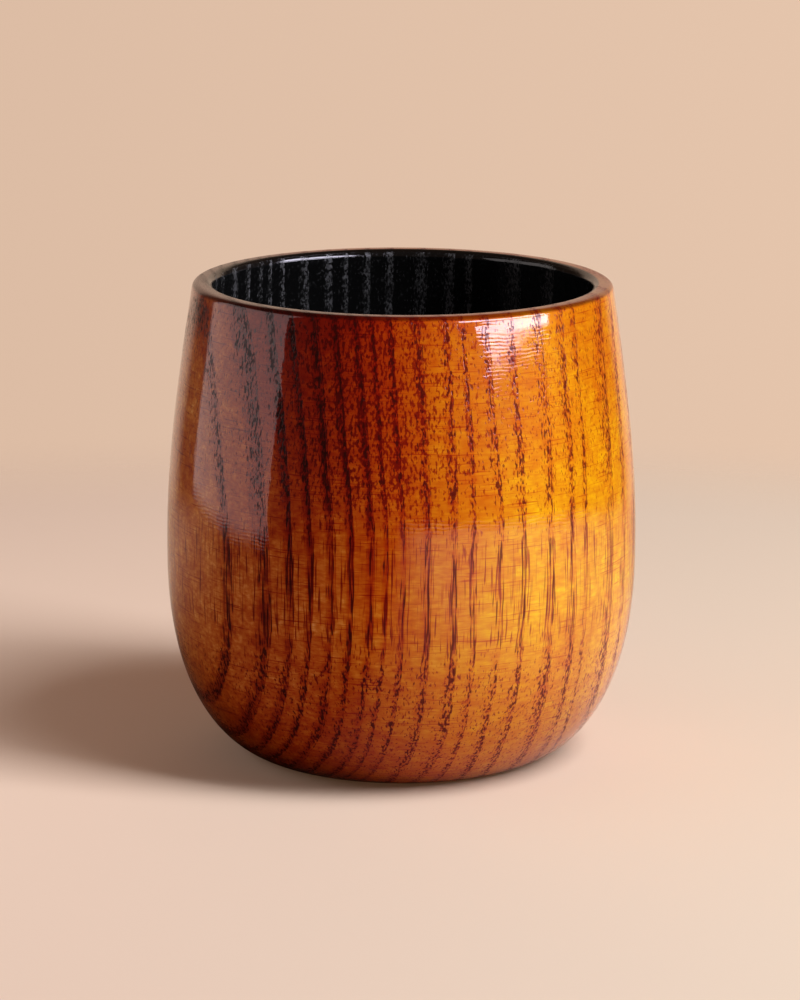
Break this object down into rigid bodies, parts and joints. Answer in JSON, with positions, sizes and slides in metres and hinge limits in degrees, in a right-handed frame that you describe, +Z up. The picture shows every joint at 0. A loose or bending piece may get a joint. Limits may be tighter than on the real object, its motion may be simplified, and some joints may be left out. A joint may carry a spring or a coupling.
{
  "type": "tumbler",
  "caption": "Lathe-turned wooden tumbler with a rounded belly, a slightly drawn-in rim, a recessed foot and a black lacquer lining, for drinks.",
  "frame": {"origin": "centre of the foot ring, on the surface that the cup stands on", "axes": "+Z up along the turning axis; +Y away from the side that the picture shows, +X to its right"},
  "size_m": [0.08, 0.08, 0.0808],
  "materials": {
    "lacquered_wood": "amber lacquer, polished to a gloss over open grain",
    "black_lacquer": "opaque black lacquer, gloss"
  },
  "bodies": {
    "root": {"turned_body": "lacquered_wood", "lacquer_lining": "black_lacquer"}
  },
  "joints": []
}
